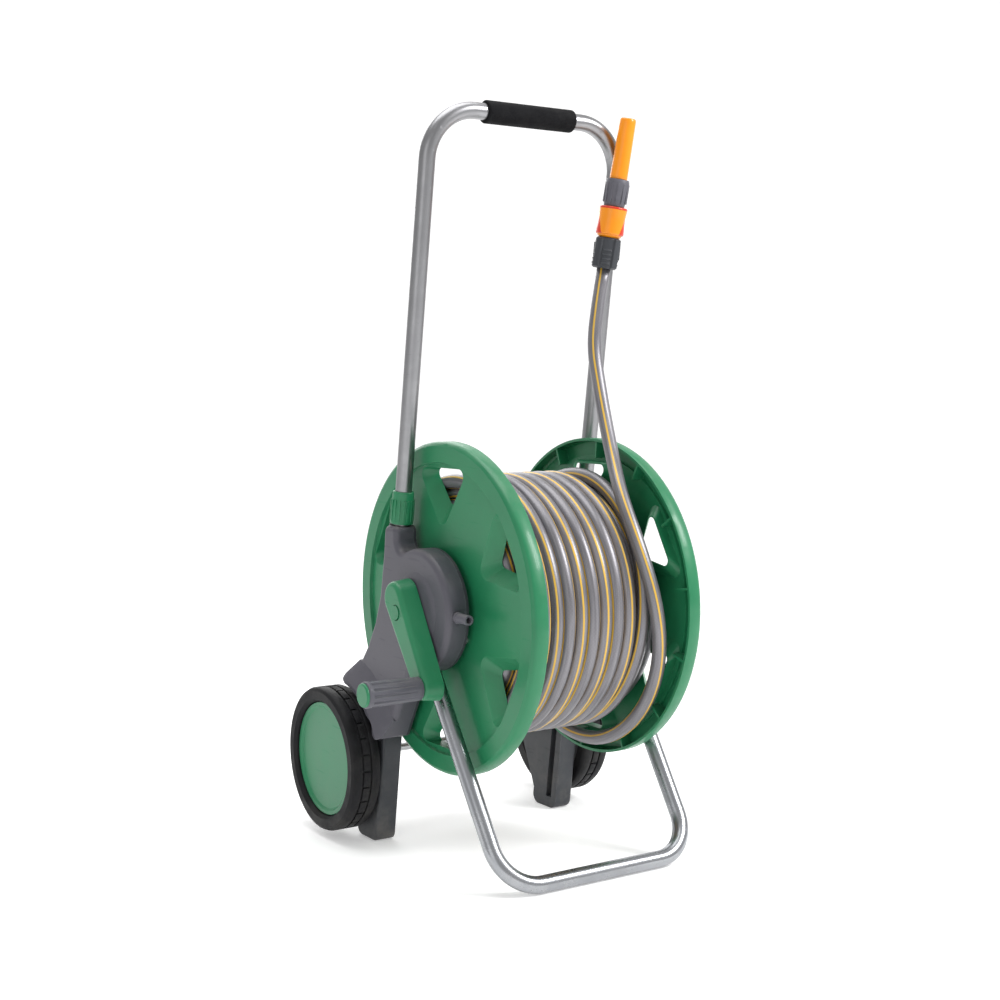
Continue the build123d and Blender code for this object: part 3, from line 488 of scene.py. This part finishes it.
def make_rubbed_edges():
    """Where outer edges are rubbed: a mask, broken up by noise."""
    group, given, out = shader_group(
        "rubbed edges", [("Width", 0.0015), ("Breaks per metre", 60.0)], [("Mask", "value")],
    )
    rounded = put(group, "Bevel", {"samples": 4}, Radius=given.outputs[0]).outputs["Normal"]
    flat = put(group, "NewGeometry").outputs["Normal"]
    lined = put(group, "VectorMath", {"operation": "DOT_PRODUCT"})
    group.links.new(rounded, lined.inputs[0])
    group.links.new(flat, lined.inputs[1])
    turned = stretch(group, lined.outputs["Value"], 0.995, 0.86)
    place = put(group, "TexCoord").outputs["Object"]
    breaks = put(group, "TexNoise", Vector=place, Scale=given.outputs[1], Detail=5.0,
                 Roughness=0.7).outputs["Fac"]
    mask = sums(group, "MULTIPLY", turned, stretch(group, breaks, 0.42, 0.62))
    group.links.new(mask, out.inputs["Mask"])
    return group


def make_settled_dust():
    """Garden dust on what faces up, and a splash of it near the ground."""
    group, given, out = shader_group(
        "settled dust", [("Patches per metre", 24.0), ("Splash height", 0.12)],
        [("Mask", "value")],
    )
    facing = put(group, "SeparateXYZ", Vector=put(group, "NewGeometry").outputs["Normal"])
    place = put(group, "TexCoord").outputs["Object"]
    height = put(group, "SeparateXYZ", Vector=place).outputs["Z"]
    patches = put(group, "TexNoise", Vector=place, Scale=given.outputs[0], Detail=6.0,
                  Roughness=0.65).outputs["Fac"]
    upward = stretch(group, facing.outputs["Z"], 0.35, 0.98)
    near = sums(group, "SUBTRACT", 1.0, sums(group, "DIVIDE", height, given.outputs[1]),
                clamp=True)
    both = sums(group, "MAXIMUM", upward, near)
    mask = sums(group, "MULTIPLY", both, stretch(group, patches, 0.4, 0.75))
    group.links.new(mask, out.inputs["Mask"])
    return group


def make_fine_scratches():
    """Short fine handling scratches that run in two directions."""
    group, given, out = shader_group(
        "fine scratches", [("Lines per metre", 220.0)], [("Mask", "value")],
    )
    place = put(group, "TexCoord").outputs["Object"]
    masks = []
    for lean, squeeze in ((0.5, 0.09), (-0.9, 0.12)):
        turned_place = put(group, "Mapping", Vector=place, Rotation=(lean, 0.4, lean * 2),
                           Scale=(1.0, squeeze, 1.0)).outputs["Vector"]
        lines = put(group, "TexNoise", Vector=turned_place, Scale=given.outputs[0], Detail=2.0,
                    Roughness=0.4, Distortion=0.2).outputs["Fac"]
        masks.append(stretch(group, lines, 0.68, 0.74))
    group.links.new(sums(group, "MAXIMUM", *masks), out.inputs["Mask"])
    return group


def make_drawn_lines():
    """Faint lines along a drawn tube: noise squeezed across and stretched along one way."""
    group, given, out = shader_group(
        "drawn lines", [("Lines per metre", 1500.0), ("Squeeze", (1.0, 0.16, 0.02))],
        [("Height", "value"), ("Smudge", "value")],
    )
    place = put(group, "TexCoord").outputs["Object"]
    squeezed = put(group, "VectorMath", {"operation": "MULTIPLY"})
    group.links.new(place, squeezed.inputs[0])
    group.links.new(given.outputs[1], squeezed.inputs[1])
    lines = put(group, "TexNoise", Vector=squeezed.outputs["Vector"], Scale=given.outputs[0],
                Detail=2.0, Roughness=0.5).outputs["Fac"]
    smudge = put(group, "TexNoise", Vector=place, Scale=32.0, Detail=5.0,
                 Roughness=0.6).outputs["Fac"]
    group.links.new(lines, out.inputs["Height"])
    group.links.new(stretch(group, smudge, 0.35, 0.7), out.inputs["Smudge"])
    return group


GRAIN = make_moulded_grain()
EDGES = make_rubbed_edges()
DUST = make_settled_dust()
SCRATCHES = make_fine_scratches()
LINES = make_drawn_lines()
DUST_COLOUR = (0.36, 0.33, 0.28, 1.0)


# ---- materials -------------------------------------------------------------------------------
def new_material(name):
    """An empty node material with its Principled shader and output."""
    material = bpy.data.materials.new(name)
    material.use_nodes = True
    tree = material.node_tree
    tree.nodes.clear()
    shader = tree.nodes.new("ShaderNodeBsdfPrincipled")
    output = tree.nodes.new("ShaderNodeOutputMaterial")
    tree.links.new(shader.outputs[0], output.inputs["Surface"])
    return material, tree, shader


def moulded_plastic(name, colour, deep, rubbed, roughness, grain, depth, coat=0.0, dust=0.2):
    """Moulded plastic: grained, a little uneven, rubbed at its edges and lightly dusty."""
    material, tree, shader = new_material(name)
    grained = place_group(tree, GRAIN, Grain_per_metre=grain)
    edges = place_group(tree, EDGES)["Mask"]
    settled = place_group(tree, DUST)["Mask"]
    scratched = place_group(tree, SCRATCHES)["Mask"]
    body = blended(tree, grained["Mottle"], (*deep, 1.0), (*colour, 1.0))
    body = blended(tree, sums(tree, "MULTIPLY", edges, 0.55), body, (*rubbed, 1.0))
    body = blended(tree, sums(tree, "MULTIPLY", settled, dust), body, DUST_COLOUR)
    tree.links.new(body, shader.inputs["Base Color"])
    rough = sums(tree, "ADD", roughness, sums(tree, "MULTIPLY", grained["Mottle"], 0.07))
    rough = sums(tree, "ADD", rough, sums(tree, "MULTIPLY", settled, dust * 0.8))
    rough = sums(tree, "ADD", rough, sums(tree, "MULTIPLY", scratched, 0.12), clamp=True)
    tree.links.new(rough, shader.inputs["Roughness"])
    relief = sums(tree, "SUBTRACT", grained["Height"], sums(tree, "MULTIPLY", scratched, 0.35))
    bump = put(tree, "Bump", Height=relief, Strength=0.55, Distance=depth)
    tree.links.new(bump.outputs["Normal"], shader.inputs["Normal"])
    shader.inputs["IOR"].default_value = 1.42
    if coat:
        shader.inputs["Coat Weight"].default_value = coat
        shader.inputs["Coat Roughness"].default_value = 0.12
    return material


def drawn_metal(name, colour, smudged, roughness, squeeze, dust=0.15):
    """Bright tube or turned metal with faint drawing lines and handling smudges."""
    material, tree, shader = new_material(name)
    lines = place_group(tree, LINES, Squeeze=squeeze)
    settled = place_group(tree, DUST)["Mask"]
    scratched = place_group(tree, SCRATCHES)["Mask"]
    body = blended(tree, lines["Smudge"], (*smudged, 1.0), (*colour, 1.0))
    body = blended(tree, sums(tree, "MULTIPLY", settled, dust), body, DUST_COLOUR)
    tree.links.new(body, shader.inputs["Base Color"])
    metal = sums(tree, "SUBTRACT", 1.0, sums(tree, "MULTIPLY", settled, dust))
    tree.links.new(metal, shader.inputs["Metallic"])
    rough = sums(tree, "ADD", roughness, sums(tree, "MULTIPLY", lines["Smudge"], -0.06))
    rough = sums(tree, "ADD", rough, sums(tree, "MULTIPLY", scratched, 0.18), clamp=True)
    tree.links.new(rough, shader.inputs["Roughness"])
    relief = sums(tree, "SUBTRACT", lines["Height"], sums(tree, "MULTIPLY", scratched, 0.4))
    bump = put(tree, "Bump", Height=relief, Strength=0.25, Distance=0.00012)
    tree.links.new(bump.outputs["Normal"], shader.inputs["Normal"])
    return material


def foamed_rubber():
    """Closed-cell foam: soft black with open pores, whose pits are painted darker as painted
    shade.
    """
    material, tree, shader = new_material("foam")
    place = put(tree, "TexCoord").outputs["Object"]
    pores = put(tree, "TexVoronoi", Vector=place, Scale=700.0, Randomness=1.0)
    swell = put(tree, "TexNoise", Vector=place, Scale=90.0, Detail=4.0).outputs["Fac"]
    settled = place_group(tree, DUST)["Mask"]
    # Painted shade: the foam is drawn darker towards each pore's middle, where the bump sinks it
    # into a pit.
    body = blended(tree, stretch(tree, pores.outputs["Distance"], 0.15, 0.6),
                   (0.003, 0.003, 0.004, 1.0), (0.008, 0.008, 0.009, 1.0))
    body = blended(tree, sums(tree, "MULTIPLY", settled, 0.03), body, DUST_COLOUR)
    tree.links.new(body, shader.inputs["Base Color"])
    tree.links.new(stretch(tree, swell, 0.3, 0.7, 0.72, 0.9), shader.inputs["Roughness"])
    relief = sums(tree, "ADD", sums(tree, "MULTIPLY", pores.outputs["Distance"], 0.6), swell)
    bump = put(tree, "Bump", Height=relief, Strength=0.4, Distance=0.0004)
    tree.links.new(bump.outputs["Normal"], shader.inputs["Normal"])
    shader.inputs["Specular IOR Level"].default_value = 0.12
    return material


def tyre_rubber():
    """Hard black tyre: fine grain, paler where it scrubs on the ground, and dusty."""
    material, tree, shader = new_material("tyre")
    grained = place_group(tree, GRAIN, Grain_per_metre=520.0, Sink_per_metre=40.0)
    edges = place_group(tree, EDGES, Width=0.0012)["Mask"]
    settled = place_group(tree, DUST, Splash_height=0.2)["Mask"]
    body = blended(tree, grained["Mottle"], (0.005, 0.005, 0.006, 1.0),
                   (0.012, 0.012, 0.014, 1.0))
    body = blended(tree, sums(tree, "MULTIPLY", edges, 0.25), body, (0.05, 0.05, 0.055, 1.0))
    body = blended(tree, sums(tree, "MULTIPLY", settled, 0.06), body, DUST_COLOUR)
    tree.links.new(body, shader.inputs["Base Color"])
    tree.links.new(stretch(tree, grained["Mottle"], 0.0, 1.0, 0.5, 0.66),
                   shader.inputs["Roughness"])
    bump = put(tree, "Bump", Height=grained["Height"], Strength=0.6, Distance=0.0004)
    tree.links.new(bump.outputs["Normal"], shader.inputs["Normal"])
    shader.inputs["Specular IOR Level"].default_value = 0.18
    return material


def striped_hose():
    """Pearly grey hose with thin yellow stripes along it and a faint knit under the skin."""
    material, tree, shader = new_material("hose")
    wrap = put(tree, "SeparateXYZ", Vector=put(tree, "UVMap").outputs["UV"])
    around, along = wrap.outputs["X"], wrap.outputs["Y"]
    twisted = sums(tree, "ADD", around, sums(tree, "MULTIPLY", along, 0.19))
    phase = sums(tree, "FRACT", sums(tree, "MULTIPLY", twisted, float(STRIPES)))
    away = sums(tree, "ABSOLUTE", sums(tree, "SUBTRACT", phase, 0.5))
    stripe = stretch(tree, away, 0.074, 0.054)
    rim = sums(tree, "SUBTRACT", stretch(tree, away, 0.108, 0.080), stripe, clamp=True)
    full_turn = sums(tree, "MULTIPLY", around, 2 * math.pi)
    ring = put(tree, "CombineXYZ", X=sums(tree, "COSINE", full_turn),
               Y=sums(tree, "SINE", full_turn), Z=sums(tree, "MULTIPLY", along, 6.0))
    streak = put(tree, "TexNoise", Vector=ring.outputs[0], Scale=3.2, Detail=5.0,
                 Roughness=0.6).outputs["Fac"]
    knit_a = sums(tree, "SINE", sums(tree, "ADD", sums(tree, "MULTIPLY", full_turn, 12.0),
                                     sums(tree, "MULTIPLY", along, 1500.0)))
    knit_b = sums(tree, "SINE", sums(tree, "SUBTRACT", sums(tree, "MULTIPLY", full_turn, 12.0),
                                     sums(tree, "MULTIPLY", along, 1500.0)))
    knit = sums(tree, "MULTIPLY", sums(tree, "ADD", knit_a, knit_b), 0.5)
    settled = place_group(tree, DUST)["Mask"]
    body = blended(tree, stretch(tree, streak, 0.3, 0.7), (0.155, 0.150, 0.165, 1.0),
                   (0.235, 0.228, 0.245, 1.0))
    body = blended(tree, stretch(tree, knit, 0.2, 1.0, 0.0, 0.12), body,
                   (0.36, 0.35, 0.37, 1.0))
    body = blended(tree, sums(tree, "MULTIPLY", rim, 0.5), body, (0.12, 0.11, 0.11, 1.0))
    body = blended(tree, stripe, body, (0.66, 0.40, 0.045, 1.0))
    body = blended(tree, sums(tree, "MULTIPLY", settled, 0.12), body, DUST_COLOUR)
    tree.links.new(body, shader.inputs["Base Color"])
    metal = sums(tree, "SUBTRACT", 0.55, sums(tree, "MULTIPLY", stripe, 0.5))
    tree.links.new(metal, shader.inputs["Metallic"])
    tree.links.new(stretch(tree, streak, 0.25, 0.75, 0.36, 0.46), shader.inputs["Roughness"])
    relief = sums(tree, "ADD", sums(tree, "MULTIPLY", streak, 0.5),
                  sums(tree, "MULTIPLY", knit, 0.12))
    bump = put(tree, "Bump", Height=relief, Strength=0.3, Distance=0.0005)
    tree.links.new(bump.outputs["Normal"], shader.inputs["Normal"])
    shader.inputs["Coat Weight"].default_value = 0.15
    shader.inputs["Coat Roughness"].default_value = 0.25
    return material


GREEN = moulded_plastic("green plastic", (0.016, 0.190, 0.080), (0.012, 0.165, 0.069),
                        (0.08, 0.34, 0.18), 0.36, 1100.0, 0.00012, coat=0.12, dust=0.12)
GREY = moulded_plastic("grey housing", (0.088, 0.085, 0.102), (0.074, 0.072, 0.088),
                       (0.20, 0.20, 0.22), 0.42, 1300.0, 0.00016)
DARK_GREY = moulded_plastic("dark grey plastic", (0.038, 0.041, 0.048), (0.030, 0.033, 0.039),
                            (0.13, 0.13, 0.14), 0.46, 1300.0, 0.00016)
SLATE = moulded_plastic("slate grey plastic", (0.105, 0.103, 0.122), (0.088, 0.087, 0.105),
                        (0.22, 0.22, 0.24), 0.42, 1300.0, 0.00014)
ORANGE = moulded_plastic("orange plastic", (0.84, 0.27, 0.003), (0.78, 0.24, 0.002),
                         (0.98, 0.50, 0.10), 0.28, 900.0, 0.00006, coat=0.25, dust=0.05)
RED = moulded_plastic("red plastic", (0.60, 0.035, 0.008), (0.52, 0.028, 0.006),
                      (0.8, 0.16, 0.08), 0.30, 900.0, 0.00006, coat=0.2, dust=0.05)
BUSH = moulded_plastic("bearing plastic", (0.62, 0.60, 0.55), (0.56, 0.54, 0.49),
                       (0.75, 0.74, 0.7), 0.40, 1300.0, 0.0001)
SATIN_TUBE = drawn_metal("satin tube", (0.30, 0.30, 0.31), (0.265, 0.265, 0.275), 0.36,
                         (1.0, 1.0, 0.02))
BRIGHT_TUBE = drawn_metal("bright tube", (0.37, 0.38, 0.40), (0.32, 0.33, 0.35), 0.30,
                          (1.0, 0.3, 0.3))
ZINC = drawn_metal("zinc plate", (0.56, 0.57, 0.58), (0.44, 0.45, 0.46), 0.34, (0.02, 1.0, 1.0))
FOAM = foamed_rubber()
TYRE = tyre_rubber()
HOSE = striped_hose()

LOOKS = {
    "left_flange": GREEN, "right_flange": GREEN, "drum": GREEN, "crank_arm": GREEN,
    "crank_cap": GREEN, "grip_end_cap": GREEN, "left_collar": GREEN, "right_collar": GREEN,
    "left_hub_disc": GREEN, "right_hub_disc": GREEN,
    "left_side_cover": GREY, "right_side_cover": GREY,
    "left_side_frame": DARK_GREY, "right_side_frame": DARK_GREY, "crank_grip": SLATE,
    "water_inlet": SLATE, "connector_nut": DARK_GREY, "nozzle_collar": SLATE,
    "left_rim": DARK_GREY, "right_rim": DARK_GREY,
    "drum_outlet": DARK_GREY, "left_shaft": DARK_GREY, "right_shaft": DARK_GREY,
    "left_collet": DARK_GREY, "right_collet": DARK_GREY,
    "connector_body": ORANGE, "nozzle_barrel": ORANGE, "release_sleeve": ORANGE,
    "left_bearing_bush": BUSH, "right_bearing_bush": BUSH,
    "handle_tube": SATIN_TUBE, "foot_tube": BRIGHT_TUBE, "foam_grip": FOAM,
    "left_tyre": TYRE, "right_tyre": TYRE, "shaft_seals": TYRE,
}


def dress(piece, material):
    """Give a piece one material all over."""
    piece.data.materials.clear()
    piece.data.materials.append(material)


for node_name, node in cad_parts.items():
    dress(node, LOOKS.get(node_name, ZINC))
dress(hose, HOSE)
dress(nut, DARK_GREY)
dress(clip, DARK_GREY)
dress(sleeve, ORANGE)
sleeve.data.materials.append(RED)
for face in sleeve.data.polygons:
    face.material_index = int(is_red(face.center))

# ---- moulded edges ---------------------------------------------------------------------------
SOFT_EDGES = {
    "left_flange": 0.0009, "right_flange": 0.0009, "left_side_cover": 0.0012,
    "right_side_cover": 0.0012, "left_side_frame": 0.0012, "right_side_frame": 0.0012,
    "crank_arm": 0.0012, "left_hub_disc": 0.0008, "right_hub_disc": 0.0008,
    "left_collar": 0.0005, "right_collar": 0.0005, "crank_grip": 0.0005,
    "water_inlet": 0.0006, "nozzle_collar": 0.0005,
    "connector_body": 0.0006, "nozzle_barrel": 0.0006, "left_tyre": 0.0006,
    "right_tyre": 0.0006,
}


def soften(piece, width):
    """Round a moulded piece's sharp edges a little, as its mould has them."""
    weld = piece.modifiers.new("joined seams", "WELD")
    weld.merge_threshold = 0.00001
    bevel = piece.modifiers.new("soft edges", "BEVEL")
    bevel.width = width
    bevel.segments = 2
    bevel.limit_method = "ANGLE"
    bevel.angle_limit = math.radians(38)
    bevel.use_clamp_overlap = True
    bevel.harden_normals = True


for node_name, width in SOFT_EDGES.items():
    soften(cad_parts[node_name], width)
soften(clip, CLIP_SOFT_EDGE)

# ---- floor, backdrop and light ---------------------------------------------------------------
FLOOR_FRONT, FLOOR_BACK = -4.0, 3.0
SWEEP = 2.0                    # radius of the curve from the floor into the wall
WALL_TOP = 6.0
HALF_ACROSS = 7.0
FLOOR_DROP = 0.0004            # keeps the floor just under the cart's feet


def make_backdrop():
    """Pale floor that curves up far behind the cart."""
    rows = [(FLOOR_FRONT, 0.0), (FLOOR_BACK, 0.0)]
    rows += [(FLOOR_BACK + SWEEP * math.sin(a), SWEEP - SWEEP * math.cos(a))
             for a in (math.radians(d) for d in range(10, 91, 10))]
    rows.append((FLOOR_BACK + SWEEP, WALL_TOP))
    across = looking.cross(Vector((0, 0, 1))).normalized()
    away = Vector((0, 0, 1)).cross(across)
    vertices = [away * reach + across * side + Vector((0, 0, height - FLOOR_DROP))
                for reach, height in rows for side in (-HALF_ACROSS, HALF_ACROSS)]
    faces = [(2 * i, 2 * i + 1, 2 * i + 3, 2 * i + 2) for i in range(len(rows) - 1)]
    backdrop = mesh_piece("backdrop", vertices, faces)
    material, tree, shader = new_material("pale paper")
    place = put(tree, "TexCoord").outputs["Object"]
    fibre = put(tree, "TexNoise", Vector=place, Scale=60.0, Detail=4.0).outputs["Fac"]
    paper = blended(tree, fibre, (0.86, 0.86, 0.86, 1.0), (0.90, 0.90, 0.895, 1.0))
    tree.links.new(paper, shader.inputs["Base Color"])
    shader.inputs["Roughness"].default_value = 0.9
    shader.inputs["Emission Color"].default_value = (1.0, 1.0, 1.0, 1.0)
    shader.inputs["Emission Strength"].default_value = 0.32
    dress(backdrop, material)


def soft_light(name, place, aim, width, height, power, tint=(1.0, 1.0, 1.0)):
    """A large rectangular studio light."""
    data = bpy.data.lights.new(name, "AREA")
    data.shape = "RECTANGLE"
    data.size, data.size_y, data.energy, data.color = width, height, power, tint
    light = bpy.data.objects.new(name, data)
    light.location = place
    light.rotation_mode = "QUATERNION"
    light.rotation_quaternion = (Vector(aim) - Vector(place)).to_track_quat("-Z", "Y")
    bpy.context.scene.collection.objects.link(light)


make_backdrop()
middle = (cad_low + cad_high) / 2
soft_light("key", (1.5, -1.7, 2.0), middle, 1.0, 1.0, 62.0)
soft_light("top", (-0.1, 0.2, 2.4), middle, 1.6, 1.6, 30.0)
soft_light("fill", (-2.3, -1.4, 0.9), middle, 1.6, 1.6, 7.0)
soft_light("back", (0.6, 2.3, 1.6), middle, 1.6, 1.6, 16.0)
world = bpy.data.worlds.new("studio")
world.use_nodes = True
world.node_tree.nodes["Background"].inputs["Color"].default_value = (1.0, 1.0, 1.0, 1.0)
world.node_tree.nodes["Background"].inputs["Strength"].default_value = 0.6
bpy.context.scene.world = world
bpy.context.scene.view_settings.view_transform = "Standard"
